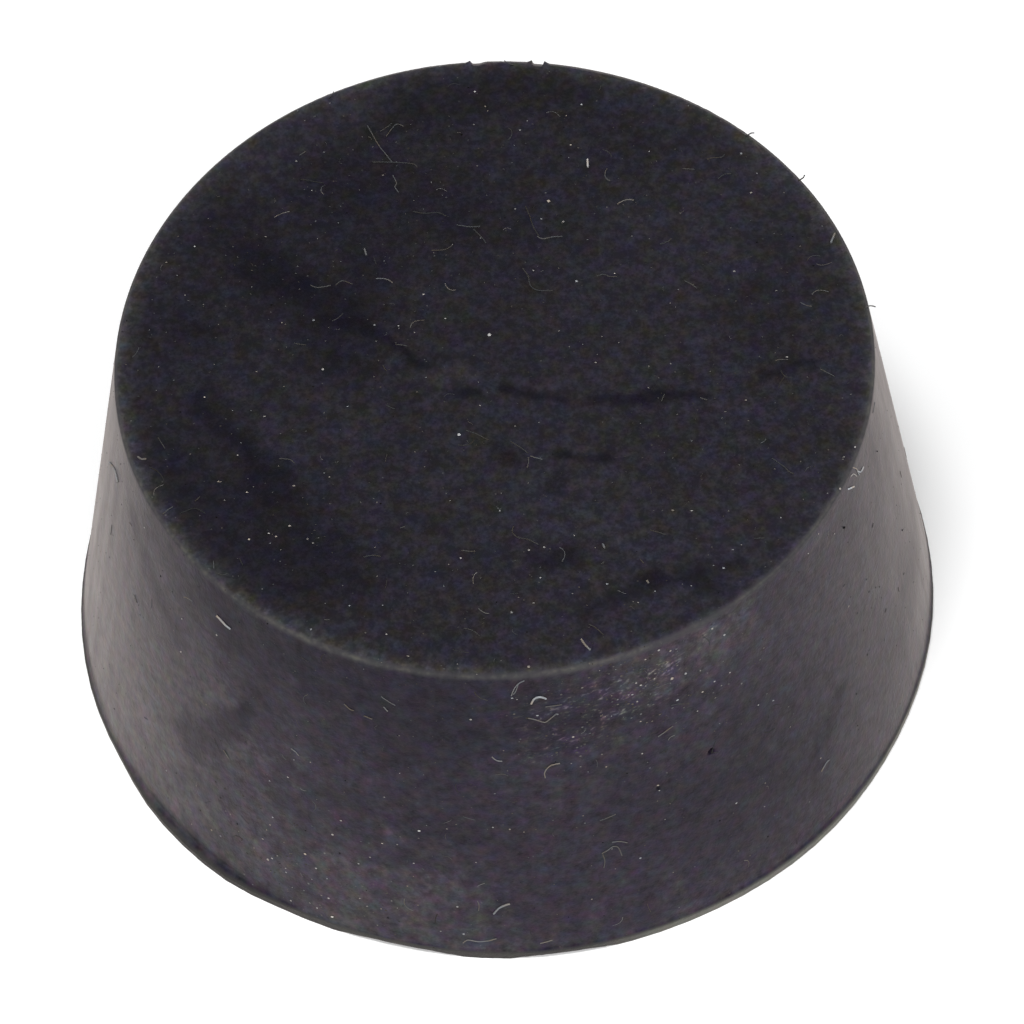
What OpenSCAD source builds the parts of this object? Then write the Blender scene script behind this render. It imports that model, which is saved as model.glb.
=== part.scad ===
// A solid tapered laboratory stopper, moulded in one piece of black rubber.
// The wide end stands on z = 0, the axis is Z, and the narrow end faces up.
// Angles go round the axis from +X towards +Y, in degrees. Lengths are in millimetres.

/* [Body] */
// Diameter of the wide end, where the line of the wall meets the base
wide_d = 53; // [44:0.5:66]
// Diameter of the narrow end, where the line of the wall meets the end face
narrow_d = 45; // [36:0.5:54]
// Height from the one end face to the other
height = 25; // [18:0.5:34]
// Radius of the worn corner round the narrow end
rim_r = 0.3; // [0.15:0.05:1.2]

/* [Flash lip] */
// Thickness of the flash that the mould left round the wide end
lip_t = 0.42; // [0.15:0.01:0.6]
// Radius of the hollow that leads from the wall out into the lip
root_r = 0.5; // [0.2:0.05:0.8]
// How far the trimmed lip stands out past the foot of the wall
lip_reach = 0.05; // [-0.05:0.01:0.3]
// Number of straight blade strokes that trimmed it
strokes = 90; // [24:1:120]
// How far the strokes wander in and out
wander = 0.09; // [0:0.01:0.15]
// Lean of the blade from upright where it ran in under the lip
undercut_lean = 38; // [15:1:50]

/* [Wide ledge in the lip] */
// Angle at which the blade left the lip widest
ledge_at = 220.5; // [0:0.5:359]
// How much further the lip stands out there
ledge_reach = 0.34; // [0:0.02:0.5]
// Half the angle over which it does
ledge_span = 13; // [5:1:40]

/* [Nicks in the narrow rim] */
// Angle of the scooped nick
scoop_at = 89.8; // [0:0.1:359]
// Width of the scooped nick along the rim
scoop_w = 0.95; // [0.4:0.05:3]
// Angle of the square nick
notch_at = 80.5; // [0:0.1:359]
// Width of the square nick along the rim
notch_w = 0.7; // [0.4:0.05:3]
// Depth of both nicks, square to the worn corner
nick_depth = 0.25; // [0.1:0.05:0.6]
// How far the burrs beside the nicks reach out over the worn corner
burr_reach = 0.2; // [0.14:0.01:0.36]
// Width of a burr along the rim
burr_w = 0.34; // [0.1:0.02:0.8]

/* [Hidden] */
$fn = 180;
rubber = [0.13, 0.125, 0.145];
over = 0.5; // how far a cutter runs past what it cuts

// Strokes that ran in under the lip: [angle, how far in from the foot of the wall]
undercuts = [[253, 0.3], [275, 0.15], [128, 0.25], [34, 0.18]];
// Small holes torn in the wall: [angle, height, radius, depth]
pits = [[298.2, 13.9, 0.24, 0.2], [289.7, 12.8, 0.18, 0.12]];

wide_r = wide_d / 2;
narrow_r = narrow_d / 2;
taper = atan((wide_r - narrow_r) / height); // lean of the wall from upright
outward = [cos(taper), sin(taper)]; // square to the wall, in the section
function wall_r(z) = wide_r - z * tan(taper);

// Centres of the section's two arcs: the worn corner's, one radius inside the wall,
// and the hollow's, one radius outside it
rim_z = height - rim_r;
rim_x = wall_r(rim_z) - rim_r / cos(taper);
root_z = lip_t + root_r;
root_x = wall_r(root_z) + root_r / cos(taper);

// The trimmed outline of the lip. Its corners are where one blade stroke meets the next:
// two waves make them wander, and one flat-topped swelling makes the wide ledge.
function turn_between(a, b) = abs((a - b + 540) % 360 - 180);
function swelling(a) = exp(-pow(turn_between(a, ledge_at) / ledge_span, 4));
function stray(a) = wander * (cos(3 * (a - 190)) + cos(9 * (a - 312))) / 2;
function reach(a) = wide_r + lip_reach + stray(a) + ledge_reach * swelling(a);
trimmed_outline = [
    for (k = [0 : strokes - 1])
        let (a = k * 360 / strokes)
            reach(a) * [cos(a), sin(a)],
];
flash_r = max(root_x, wide_r + lip_reach + wander + ledge_reach) + over; // before trimming
trim_h = 3 * root_z; // the upright strokes run out of the wall below this height

// The half outline that is turned into the stopper, with the flash not yet trimmed
module section() {
    difference() {
        union() {
            polygon([
                [0, 0],
                [wide_r, 0],
                [rim_x, rim_z] + rim_r * outward,
                [rim_x, rim_z],
                [rim_x, height],
                [0, height],
            ]);
            translate([rim_x, rim_z]) circle(rim_r);
            polygon([
                [wide_r / 2, 0],
                [flash_r, 0],
                [flash_r, lip_t],
                [root_x, lip_t],
                [root_x, root_z],
                [root_x, root_z] - root_r * outward,
            ]);
        }
        translate([root_x, root_z]) circle(root_r);
    }
}

// All that the upright blade strokes take off
module trimmings() {
    translate([0, 0, -over])
        linear_extrude(over + trim_h)
            difference() {
                circle(flash_r + over);
                polygon(trimmed_outline);
            }
}

// One flat stroke that leans in under the lip
module undercut(angle, depth) {
    blade = wide_r; // far wider and longer than the cut
    rotate(angle)
        translate([wide_r - depth, 0, 0])
            rotate([0, undercut_lean, 0])
                translate([0, -blade / 2, -blade / 2])
                    cube(blade);
}

// A nick right across the worn corner, steep at one end and ramped at the other
module nick(angle, width, steep, ramp) {
    run = 8 * (nick_depth + rim_r); // long enough to pass out through both faces
    rotate(angle)
        translate([rim_x, 0, rim_z])
            rotate([0, -(90 + taper) / 2, 0])
                translate([rim_r, 0, -run / 2])
                    linear_extrude(run)
                        polygon([
                            [-nick_depth, width / 2 - steep],
                            [-nick_depth, ramp - width / 2],
                            [0, -width / 2],
                            [over, -width / 2 - ramp],
                            [over, width / 2 + steep],
                            [0, width / 2],
                        ]);
}

// A burr that the edge of a nick pushed up, as a small horn flush with the end face. Its tip
// is at the side of the nick that side gives, 1 or -1, and it falls away from the nick.
module burr(angle, width, side) {
    tip = side * width / 2;
    away = tip + side * burr_w;
    rotate(angle)
        translate([rim_x, 0, rim_z])
            linear_extrude(rim_r)
                polygon([
                    [0, tip],
                    [burr_reach, tip],
                    [0, away],
                ]);
}

// A small round hole, as a ball sunk into the wall to its depth
module pit(angle, z, radius, depth) {
    ball_r = (radius * radius + depth * depth) / (2 * depth);
    rotate(angle)
        translate([wall_r(z), 0, z])
            rotate([0, -taper, 0])
                translate([ball_r - depth, 0, 0])
                    sphere(ball_r);
}

module stopper() {
    color(rubber)
        difference() {
            union() {
                rotate_extrude() section();
                burr(scoop_at, scoop_w, side = 1);
                burr(notch_at, notch_w, side = 1);
                burr(notch_at, notch_w, side = -1);
            }
            trimmings();
            for (u = undercuts) undercut(u[0], u[1]);
            nick(scoop_at, scoop_w, steep = 0.12 * scoop_w, ramp = 0.5 * scoop_w);
            nick(notch_at, notch_w, steep = 0.08 * notch_w, ramp = 0.16 * notch_w);
            for (p = pits) pit(p[0], p[1], p[2], p[3]);
        }
}

stopper();
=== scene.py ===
import math

import bpy
from mathutils import Matrix, Vector


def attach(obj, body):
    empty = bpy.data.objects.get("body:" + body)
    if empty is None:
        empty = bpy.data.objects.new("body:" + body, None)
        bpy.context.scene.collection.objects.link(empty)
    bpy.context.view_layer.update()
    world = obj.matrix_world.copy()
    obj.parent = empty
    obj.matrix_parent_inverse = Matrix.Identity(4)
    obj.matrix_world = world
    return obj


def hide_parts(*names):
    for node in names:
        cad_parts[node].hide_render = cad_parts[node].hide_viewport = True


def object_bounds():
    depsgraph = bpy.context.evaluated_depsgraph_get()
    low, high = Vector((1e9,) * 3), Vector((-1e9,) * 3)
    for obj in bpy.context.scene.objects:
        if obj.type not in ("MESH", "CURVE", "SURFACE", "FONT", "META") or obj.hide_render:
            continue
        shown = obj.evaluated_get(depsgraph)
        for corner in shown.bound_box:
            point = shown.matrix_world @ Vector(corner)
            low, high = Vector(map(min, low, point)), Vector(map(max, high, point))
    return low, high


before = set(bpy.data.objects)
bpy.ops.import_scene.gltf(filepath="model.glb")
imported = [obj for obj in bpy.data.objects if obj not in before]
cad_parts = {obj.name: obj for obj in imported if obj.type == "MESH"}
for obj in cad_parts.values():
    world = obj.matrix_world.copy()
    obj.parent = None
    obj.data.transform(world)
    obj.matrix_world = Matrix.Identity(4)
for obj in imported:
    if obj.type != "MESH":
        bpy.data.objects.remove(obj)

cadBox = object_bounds()
mm = 0.001
rad = math.radians


class Wire:  # a socket that takes Python's arithmetic
    def __init__(self, bench, socket):
        self.bench = bench
        self.socket = socket

    def out(self, name):  # another outlet of the same node
        return Wire(self.bench, self.socket.node.outputs[name])

    def maths(self, operation, *others):
        return self.bench.maths(operation, self, *others)

    def __add__(self, other):
        return self.maths("ADD", other)

    __radd__ = __add__

    def __mul__(self, other):
        return self.maths("MULTIPLY", other)

    __rmul__ = __mul__

    def __sub__(self, other):
        return self.maths("SUBTRACT", other)

    def __rsub__(self, other):
        return self.bench.maths("SUBTRACT", other, self)

    def __truediv__(self, other):
        return self.maths("DIVIDE", other)

    def __rtruediv__(self, other):
        return self.bench.maths("DIVIDE", other, self)

    def __pow__(self, other):
        return self.maths("POWER", other)

    def __neg__(self):
        return self * -1


class Bench:  # a node tree, and the one way a node is put into it
    def __init__(self, tree):
        self.tree = tree

    def node(self, kind, settings=None, links=None, outlet=0):
        made = self.tree.nodes.new(kind)
        for name, value in (settings or {}).items():
            if name == "stops":
                self.setStops(made.color_ramp.elements, value)
            else:
                setattr(made, name, value)
        for name, value in (links or {}).items():
            if isinstance(value, Wire):
                self.tree.links.new(value.socket, made.inputs[name])
            else:
                made.inputs[name].default_value = value
        return Wire(self, made.outputs[outlet]) if made.outputs else made

    def setStops(self, elements, stops):
        while len(elements) < len(stops):
            elements.new(1)
        for element, (place, colour) in zip(elements, stops):
            element.position = place
            element.color = colour

    def inlets(self, sizes):  # one named input for each size
        for name, value in sizes.items():
            kind = "NodeSocketInt" if isinstance(value, int) else "NodeSocketFloat"
            self.tree.interface.new_socket(name=name, in_out="INPUT", socket_type=kind)
        outlets = self.tree.nodes.new("NodeGroupInput").outputs
        return {name: Wire(self, outlets[name]) for name in sizes}

    def ownMesh(self):  # the geometry that the tree is run on
        self.tree.interface.new_socket(name="Geometry", in_out="INPUT", socket_type="NodeSocketGeometry")
        return Wire(self, self.tree.nodes.new("NodeGroupInput").outputs["Geometry"])

    def join(self, parts):
        together = self.tree.nodes.new("GeometryNodeJoinGeometry")
        for part in parts:
            self.tree.links.new(part.socket, together.inputs[0])
        return Wire(self, together.outputs[0])

    def deliver(self, geometry, material):
        real = self.node("GeometryNodeRealizeInstances", {}, {"Geometry": geometry})
        coated = self.node("GeometryNodeSetMaterial", {}, {"Geometry": real, "Material": material})
        self.tree.interface.new_socket(name="Result", in_out="OUTPUT", socket_type="NodeSocketGeometry")
        end = self.tree.nodes.new("NodeGroupOutput")
        self.tree.links.new(coated.socket, end.inputs["Result"])

    def maths(self, operation, *values):
        return self.node("ShaderNodeMath", {"operation": operation}, dict(enumerate(values)))

    def vector(self, x, y, z):
        return self.node("ShaderNodeCombineXYZ", {}, {0: x, 1: y, 2: z})

    def arrows(self, operation, *values):
        return self.node("ShaderNodeVectorMath", {"operation": operation}, dict(enumerate(values)))

    def scaled(self, arrow, amount):
        return self.node("ShaderNodeVectorMath", {"operation": "SCALE"}, {0: arrow, "Scale": amount})

    def split(self, vector):
        parts = self.node("ShaderNodeSeparateXYZ", {}, {0: vector})
        return parts.out("X"), parts.out("Y"), parts.out("Z")

    def mix(self, share, one, other):  # colours
        return self.node("ShaderNodeMix", {"data_type": "RGBA"}, {0: share, 6: one, 7: other}, outlet=2)

    def step(self, value, low, high):  # 0 below low, 1 above high, smooth between
        return self.node(
            "ShaderNodeMapRange",
            {"interpolation_type": "SMOOTHSTEP"},
            {"Value": value, "From Min": low, "From Max": high},
        )

    def share(self, value, low, high):  # the same, but straight between
        return self.node("ShaderNodeMapRange", {}, {"Value": value, "From Min": low, "From Max": high})

    def noise(self, place, size, detail=2.0, outlet="Fac"):  # size is about one blotch
        return self.node("ShaderNodeTexNoise", {}, {"Vector": place, "Scale": 1 / size, "Detail": detail},
                         outlet)

    def attribute(self, name):
        return self.node("GeometryNodeInputNamedAttribute", {"data_type": "FLOAT"}, {"Name": name})

    def keep(self, geometry, name, value):
        return self.node("GeometryNodeStoreNamedAttribute", {"data_type": "FLOAT", "domain": "POINT"},
                         {"Geometry": geometry, "Name": name, "Value": value})

    def chance(self, low, high, seed):
        return self.node("FunctionNodeRandomValue", {"data_type": "FLOAT"}, {2: low, 3: high, "Seed": seed},
                         outlet=1)


def sine(value):
    return value.maths("SINE")


def cosine(value):
    return value.maths("COSINE")


def root(value):
    return value.maths("SQRT")


def hump(value):  # 1 at zero, falling away on both sides
    return (-(value * value)).maths("EXPONENT")


def least(value, other):
    return value.maths("MINIMUM", other)


def most(value, other):
    return value.maths("MAXIMUM", other)


def turnFrom(turn, at):  # signed turn from an angle, the short way round
    return (turn - at).maths("WRAP", math.pi, -math.pi)


def finished(name, tree, sizes=None, mesh=None):  # runs a tree and keeps its result as a plain mesh
    piece = bpy.data.objects.new(name, mesh or bpy.data.meshes.new(name))
    bpy.context.scene.collection.objects.link(piece)
    run = piece.modifiers.new("form", "NODES")
    run.node_group = tree
    for item in tree.interface.items_tree:
        if item.in_out == "INPUT" and item.name in (sizes or {}):
            run[item.identifier] = sizes[item.name]
    ready = piece.evaluated_get(bpy.context.evaluated_depsgraph_get())
    blank = piece.data
    piece.data = bpy.data.meshes.new_from_object(ready)
    piece.data.name = name
    piece.modifiers.clear()
    bpy.data.meshes.remove(blank)
    return piece


def micron(length):  # the frame's lengths, rid of their last stray digits
    return round(length, 6)


lipReach = 0.05 * mm  # past the foot of the wall, all round, but for its wander
body = {
    "wideRadius": micron((cadBox[1][0] - cadBox[0][0]) / 2 - lipReach),
    "narrowRadius": 22.5 * mm,
    "height": micron(cadBox[1][2] - cadBox[0][2]),
    "rimRadius": 0.3 * mm,
    "lipThickness": 0.42 * mm,
    "rootRadius": 0.5 * mm,
    "lipReach": lipReach,
    "wander": 0.09 * mm,
    "ledgeReach": 0.34 * mm,
    "undercutLean": rad(38),
    "nickDepth": 0.25 * mm,
    "burrReach": 0.2 * mm,
    "lipRagged": 0.03 * mm,
    "rimRagged": 0.05 * mm,
    "streaks": 0.006 * mm,
    "brink": 0.8 * mm,
}
stroke = rad(4)  # the turn that one straight blade stroke takes
ledgeAt, ledgeSpan = rad(220.5), rad(13)
undercuts = [(253, 0.30), (275, 0.15), (128, 0.25), (34, 0.18)]  # angle, mm in from the foot
nicks = [(89.8, 0.95, 0.12, 0.5), (80.5, 0.7, 0.08, 0.16)]  # angle, mm wide, steep share, ramp share
burrs = [(89.8, 0.475, 1), (80.5, 0.35, 1), (80.5, -0.35, -1)]  # angle, mm along the rim, way it falls
burrWidth, burrFace = 0.34, 0.02  # mm: how wide a burr is, and how thick its steep face
wornSpots = [(74, 32, 0.12), (256, 9, 0.1), (228, 5, 0.06), (310, 14, 0.05)]  # angle, half width, mm off
pits = [(298.2, 13.9, 0.24, 0.2), (289.7, 12.8, 0.18, 0.12)]  # angle, height, radius, depth in mm
closerTurns = [(85.2, 20, 0.65), (289.7, 3, 0.7), (298.2, 3, 0.7)]  # angle, half width, how much closer
rows = {"base": 3, "lip": 4, "hollow": 6, "low": 8, "torn": 17, "high": 7, "collar": 4,
        "rim": 8, "brink": 5, "end": 4}
wallShares = {"low": 0.483, "torn": 0.082, "high": 0.415, "collar": 0.02}  # of the wall's length
firstRow = {name: sum(list(rows.values())[:place]) for place, name in enumerate(rows)}
rings = sum(rows.values()) + 1
around = 1440


class Form:  # where on the winding grid a point is, and what the section is made of there
    def __init__(self, bench):
        self.bench = bench
        self.size = size = bench.inlets(body)
        across, about, _ = bench.split(bench.node("GeometryNodeInputPosition"))
        self.row = (across + 0.5) * (rings - 1)
        turn = (about + 0.5) * math.tau
        for at, half, closer in closerTurns:
            off = turnFrom(turn, rad(at))
            turn = turn - closer * off * hump(off / rad(half))
        self.turn = turn
        circle = bench.vector(cosine(turn) * size["wideRadius"], sine(turn) * size["wideRadius"],
                              self.row * mm)
        self.fine = bench.noise(circle, 0.5 * mm, 1) - 0.5

        # the wall's slope, and the centres of the section's two arcs
        slope = (size["wideRadius"] - size["narrowRadius"]) / size["height"]
        self.taper = slope.maths("ARCTANGENT")
        self.rimZ = size["height"] - size["rimRadius"]
        self.rimX = size["wideRadius"] - self.rimZ * slope - size["rimRadius"] / cosine(self.taper)
        self.rootZ = size["lipThickness"] + size["rootRadius"]
        self.rootX = size["wideRadius"] - self.rootZ * slope + size["rootRadius"] / cosine(self.taper)
        self.rootArc = (math.pi / 2 - self.taper) * size["rootRadius"]

    def along(self, name):  # 0 before a stretch of the section, 1 past it
        return self.bench.share(self.row, firstRow[name], firstRow[name] + rows[name])

    def within(self, rise, fall):  # 0 at the outer rows of two slopes, 1 between their inner rows
        return self.bench.share(self.row, *rise) * self.bench.share(self.row, *fall)

    def reach(self, angle):  # how far out a blade stroke meets the next
        ledge = turnFrom(angle, ledgeAt) / ledgeSpan
        stray = cosine(3 * (angle - rad(190))) + cosine(9 * (angle - rad(312)))
        return (self.size["wideRadius"] + self.size["lipReach"] + self.size["wander"] * stray / 2
                + self.size["ledgeReach"] * hump(ledge * ledge))

    def trimmed(self):  # the edge of the lip, straight from stroke to stroke
        first = (self.turn / stroke).maths("FLOOR") * stroke
        start, end = self.reach(first), self.reach(first + stroke)
        return (start * end * math.sin(stroke)
                / (start * sine(self.turn - first) + end * sine(first + stroke - self.turn)))

    def undercut(self, at, depth):  # a leaning stroke: its foot, its lean, and where it meets the hollow
        facing = most(cosine(self.turn - rad(at)), 0.5)
        foot = (self.size["wideRadius"] - depth * mm) / facing
        lean = self.size["undercutLean"].maths("TANGENT") / facing
        gap = foot - self.rootX
        a = lean * lean + 1
        b = lean * gap - self.rootZ
        c = gap * gap + self.rootZ * self.rootZ - self.size["rootRadius"] * self.size["rootRadius"]
        meets = (-b - root(most(b * b - a * c, 0))) / a
        return foot, lean, foot + lean * most(meets, 0)

    def hollow(self, length):  # a point in the hollow, by its length from the foot of the wall
        angle = self.taper + math.pi + least(length, self.rootArc) / self.size["rootRadius"]
        return (self.rootX + self.size["rootRadius"] * cosine(angle) + most(length - self.rootArc, 0),
                self.rootZ + self.size["rootRadius"] * sine(angle))

    def section(self):  # how far out and how high each row of the section is
        rimRadius, rootRadius = self.size["rimRadius"], self.size["rootRadius"]
        planes = [self.undercut(at, depth) for at, depth in undercuts]
        edge = self.trimmed()
        for _, _, top in planes:
            edge = least(edge, top)
        edge = edge + self.size["lipRagged"] * self.fine

        # up the cut edge of the lip
        inside = most(self.rootX - edge, 0)
        lipZ = (self.rootZ - root(rootRadius * rootRadius - inside * inside)) * self.along("lip")
        outer = edge
        for foot, lean, _ in planes:
            outer = least(outer, foot + lean * lipZ)

        # along the lip's flat top, then round the hollow to the wall
        swept = (self.rootX - least(edge, self.rootX)) / rootRadius
        whole = self.rootArc - swept.maths("ARCSINE") * rootRadius + most(edge - self.rootX, 0)
        startX, startZ = self.hollow(whole)
        nowX, nowZ = self.hollow(whole * (1 - self.along("hollow")))

        # up the wall, round the worn corner and in across the end
        leanX, leanZ = cosine(self.taper), sine(self.taper)
        corner = self.taper + (math.pi / 2 - self.taper) * self.along("rim")
        up = sum(share * self.along(name) for name, share in wallShares.items())
        x = (outer * self.along("base")
             + nowX - startX
             + ((self.rimX + rimRadius * leanX) - (self.rootX - rootRadius * leanX)) * up
             + rimRadius * (cosine(corner) - leanX)
             - self.size["brink"] * self.along("brink")
             - (self.rimX - self.size["brink"]) * self.along("end"))
        z = (lipZ
             + nowZ - startZ
             + ((self.rimZ + rimRadius * leanZ) - (self.rootZ - rootRadius * leanZ)) * up
             + rimRadius * (sine(corner) - leanZ))
        return x, z

    def drawn(self, x, z):  # faint streaks up the wall, from drawing it out of the mould
        onWall = self.within((firstRow["low"], firstRow["low"] + 2), (firstRow["rim"], firstRow["collar"]))
        tall = self.bench.vector(cosine(self.turn), sine(self.turn), z * 3)
        streak = self.bench.noise(tall, 0.04, 2) - 0.5
        return x + self.size["streaks"] * streak * onWall, z

    def nicked(self, x, z):  # the rim's nicks, burrs and worn spots
        depth = horn = 0.0
        for at, width, steep, ramp in nicks:
            side = turnFrom(self.turn, rad(at)) * self.rimX
            half, steep, ramp = width / 2 * mm, steep * width * mm, ramp * width * mm
            depth = depth + (self.bench.share(side, half, half - steep)
                             * self.bench.share(side, -half, ramp - half))
        for at, tip, way in burrs:
            side = (turnFrom(self.turn, rad(at)) * self.rimX - tip * mm) * way
            horn = horn + (self.bench.share(side, burrWidth * mm, 0)
                           * self.bench.share(side, -burrFace * mm, 0))
        worn = self.size["rimRagged"] * (self.fine + 0.5)
        for at, half, off in wornSpots:
            worn = worn + off * mm * hump(turnFrom(self.turn, rad(at)) / rad(half))

        # what stands out past a slanting plane is pressed back to it
        slant = (math.pi / 2 + self.taper) / 2
        beyond = (x - self.rimX) * cosine(slant) + (z - self.rimZ) * sine(slant)
        off = self.size["nickDepth"] * depth + worn * (1 - least(depth + horn, 1))
        pressed = most(beyond - self.size["rimRadius"] + off, 0)
        x = x - pressed * cosine(slant)
        z = z - pressed * sine(slant)
        atTop = self.within((firstRow["rim"] + 3, firstRow["rim"] + 6),
                            (firstRow["brink"] + 1, firstRow["brink"]))
        grown = most(self.rimX + self.size["burrReach"] - x, 0)
        return x + grown * horn * (1 - least(depth, 1)) * atTop, z

    def holed(self, x, z):  # small holes torn in the wall
        for at, up, radius, deep in pits:
            ball = (radius * radius + deep * deep) / (2 * deep) * mm
            side = turnFrom(self.turn, rad(at)) * x
            rise = (z - up * mm) / cosine(self.taper)
            off = side * side + rise * rise
            sunk = most(root(most(ball * ball - off, 0)) - (ball - deep * mm), 0)
            x = x - sunk * cosine(self.taper)
            z = z - sunk * sine(self.taper)
        return x, z


def stopperTree(rubber):
    bench = Bench(bpy.data.node_groups.new("stopperForm", "GeometryNodeTree"))
    form = Form(bench)
    x, z = form.holed(*form.nicked(*form.drawn(*form.section())))
    grid = bench.node("GeometryNodeMeshGrid", {}, {
        "Size X": 1.0, "Size Y": 1.0, "Vertices X": rings, "Vertices Y": around + 1})
    placed = bench.node("GeometryNodeSetPosition", {}, {
        "Geometry": bench.keep(grid, "row", form.row),
        "Position": bench.vector(x * cosine(form.turn), x * sine(form.turn), z)})
    closed = bench.node("GeometryNodeMergeByDistance", {}, {"Geometry": placed, "Distance": 0.001 * mm})
    outward = bench.node("GeometryNodeFlipFaces", {}, {"Mesh": closed})
    fold = bench.node("GeometryNodeInputMeshEdgeAngle")
    sharp = bench.node("FunctionNodeCompare", {"data_type": "FLOAT", "operation": "GREATER_THAN"},
                       {"A": fold, "B": rad(38)})
    smooth = bench.node("GeometryNodeSetShadeSmooth", {"domain": "FACE"},
                        {"Geometry": outward, "Shade Smooth": True})
    creased = bench.node("GeometryNodeSetShadeSmooth", {"domain": "EDGE"},
                         {"Geometry": smooth, "Selection": sharp, "Shade Smooth": False})
    bench.deliver(creased, rubber)
    return bench.tree


def newFinish(name):
    material = bpy.data.materials.new(name)
    material.use_nodes = True
    material.node_tree.nodes.clear()
    return material, Bench(material.node_tree)


rubber = {
    "wall": (0.0220, 0.0190, 0.0276, 1),
    # the darker and the pale wall colours below also paint reflection: darker high at the front left, paler
    # on the left and near the foot
    "handledAndDimReflection": (0.0125, 0.0115, 0.0178, 1),
    "paleBloomAndReflection": (0.090, 0.079, 0.083, 1),
    "end": (0.0186, 0.0172, 0.0219, 1),
    "smudged": (0.0080, 0.0072, 0.0108, 1),
    "cut": (0.054, 0.053, 0.047, 1),
    "paleCut": (0.162, 0.163, 0.138, 1),
    "worn": (0.062, 0.060, 0.060, 1),
    "crest": (0.086, 0.083, 0.073, 1),
    "scuffed": (0.17, 0.155, 0.15, 1),
    "sheen": (0.64, 0.60, 1.0, 1),
    "wallRoughness": 0.32,
    "endRoughness": 0.55,
    "dullRoughness": 0.55,
    "index": 1.28,
    "relief": 0.035 * mm,
}
# pale bloom on the wall, and less where hands have rubbed it off, with painted reflection in it as well:
# lighter on the left and near the foot, darker high up at the front left:
# angle, height in mm, half the turn, half the height, strength
bloomAndReflectionPatches = [
    (196, 8, 26, 11, 0.8), (218, 4, 24, 6, 0.4), (250, 4, 18, 5, 0.4), (354, 3, 17, 4, 0.3),
    (298, 23, 14, 4, 0.4), (250, 24, 29, 7, -1.0), (222, 25, 22, 5, -0.7), (311, 12, 15, 12, -0.4),
    (346, 6, 20, 5, -0.35), (294, 9, 24, 9, -0.5), (257, 15, 10, 4, -0.4), (190, 0.6, 12, 2.2, 1.6),
    (225, 0.5, 13, 1.1, -0.6), (60, 12, 36, 10, 0.5), (125, 18, 29, 9, -0.6), (20, 20, 24, 6, -0.4),
]
# smears on the wall: the two ends as angle and height, half the width in mm, strength
smears = [
    ((229, 15.2), (218, 9.0), 1.2, -0.8), ((231.6, 18.6), (229, 15.2), 0.9, -0.64),
    ((262, 20.5), (300, 19.5), 1.0, -0.4), ((314.8, 6.9), (321.9, 10.3), 0.9, -0.64),
    ((240, 12.5), (262, 11.0), 1.2, -0.4), ((200, 21), (214, 17.5), 1.1, -0.48),
]
# scuffed by short scratches under the rim: angle, height, half the turn, half the height, strength
scuffs = [
    (290, 22.3, 7, 1.1, 0.9), (283, 21.3, 13, 2.2, 0.8), (300, 23.3, 9, 1.0, 0.7), (277, 18.8, 7, 1.4, 0.5),
]
# darker smudges on the end: their two ends in mm, half the width in mm, strength
smudges = [
    ((-16.2, 12.6), (-13.5, 7.4), 2.0, 0.45), ((-13.5, 7.4), (-8.6, 0.2), 2.1, 0.55),
    ((-10.9, 6.1), (-8.6, 3.6), 1.3, 0.6), ((-9.2, 4.7), (-4.4, -0.6), 0.5, 0.8),
    ((-2.5, -2.6), (-1.2, -2.7), 0.5, 0.8), ((0.5, -2.2), (3.9, -3.4), 0.52, 0.9),
    ((5.9, -3.4), (9.2, -3.6), 0.52, 1.0), ((10.0, -3.7), (12.2, -3.4), 0.5, 0.9),
    ((15.8, -2.4), (18.9, -1.8), 0.6, 0.7), ((-17.4, -1.8), (-13.0, -8.7), 1.2, 0.7),
    ((-13.0, -8.7), (-8.2, -15.6), 2.2, 0.5), ((-19.5, -6.5), (-12.5, -15.5), 3.4, 0.6),
    ((-17.9, 3.4), (-17.6, 2.9), 1.7, 0.5), ((0.2, -7.0), (0.8, -7.5), 0.9, 0.6),
    ((3.3, -8.8), (3.1, -9.9), 0.6, 0.6), ((3.4, -7.4), (6.4, -7.9), 0.45, 1.0),
    ((1.9, -14.4), (3.9, -14.4), 1.0, 0.8), ((4.5, -18.6), (8.9, -16.4), 0.7, 0.6),
    ((8.9, -16.4), (13.4, -15.6), 0.7, 0.6), ((11.2, -17.0), (11.5, -17.1), 1.0, 0.7),
    ((16.0, 2.4), (17.0, 0.8), 3.6, 0.35), ((-4.0, 19.2), (5.0, 19.6), 2.4, 0.35),
    ((-8, 13.5), (-2, 11), 5.0, 0.4), ((-7.5, 7), (-7, 4), 2.0, 0.5),
]
# and paler ones
haze = [
    ((-4.1, -1.2), (-2.0, -1.3), 0.8, 0.9), ((10.5, 9.5), (16.0, 12.5), 4.2, 0.35),
    ((13.6, 6.4), (14.6, 5.4), 1.7, 0.4), ((0, -7), (4, -12), 5.0, 0.25),
    ((-16.5, 13.2), (-7, 19.6), 1.8, 0.6),
]
# the rubbed corner, in mm: how far in and down it runs, and where it runs in less
rub = {
    "from": 0.07,
    "inward": 0.48,
    "lessInward": 0.35,
    "lessAt": rad(40),
    "lessSpan": rad(50),
    "straight": 0.15,
    "downward": 0.22,
    "crestHalf": 0.085,
}
wallRadius = (body["wideRadius"] + body["narrowRadius"]) / 2 / mm  # for laying the wall out flat


def laidFlat(angle, up):
    return rad(angle - 270) * wallRadius, up


def wallPatches(patches):
    return [(laidFlat(at, up), (rad(halfTurn) * wallRadius, halfUp), strength)
            for at, up, halfTurn, halfUp, strength in patches]


def wallBands(bands):
    return [(laidFlat(*start), laidFlat(*end), half, strength) for start, end, half, strength in bands]


def fade(bench, far, strength):  # full at 0, gone at 1.5
    return bench.node("ShaderNodeMapRange", {"interpolation_type": "SMOOTHSTEP"},
                      {"Value": far, "From Min": 1.5, "From Max": 0.0, "To Max": strength})


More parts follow.
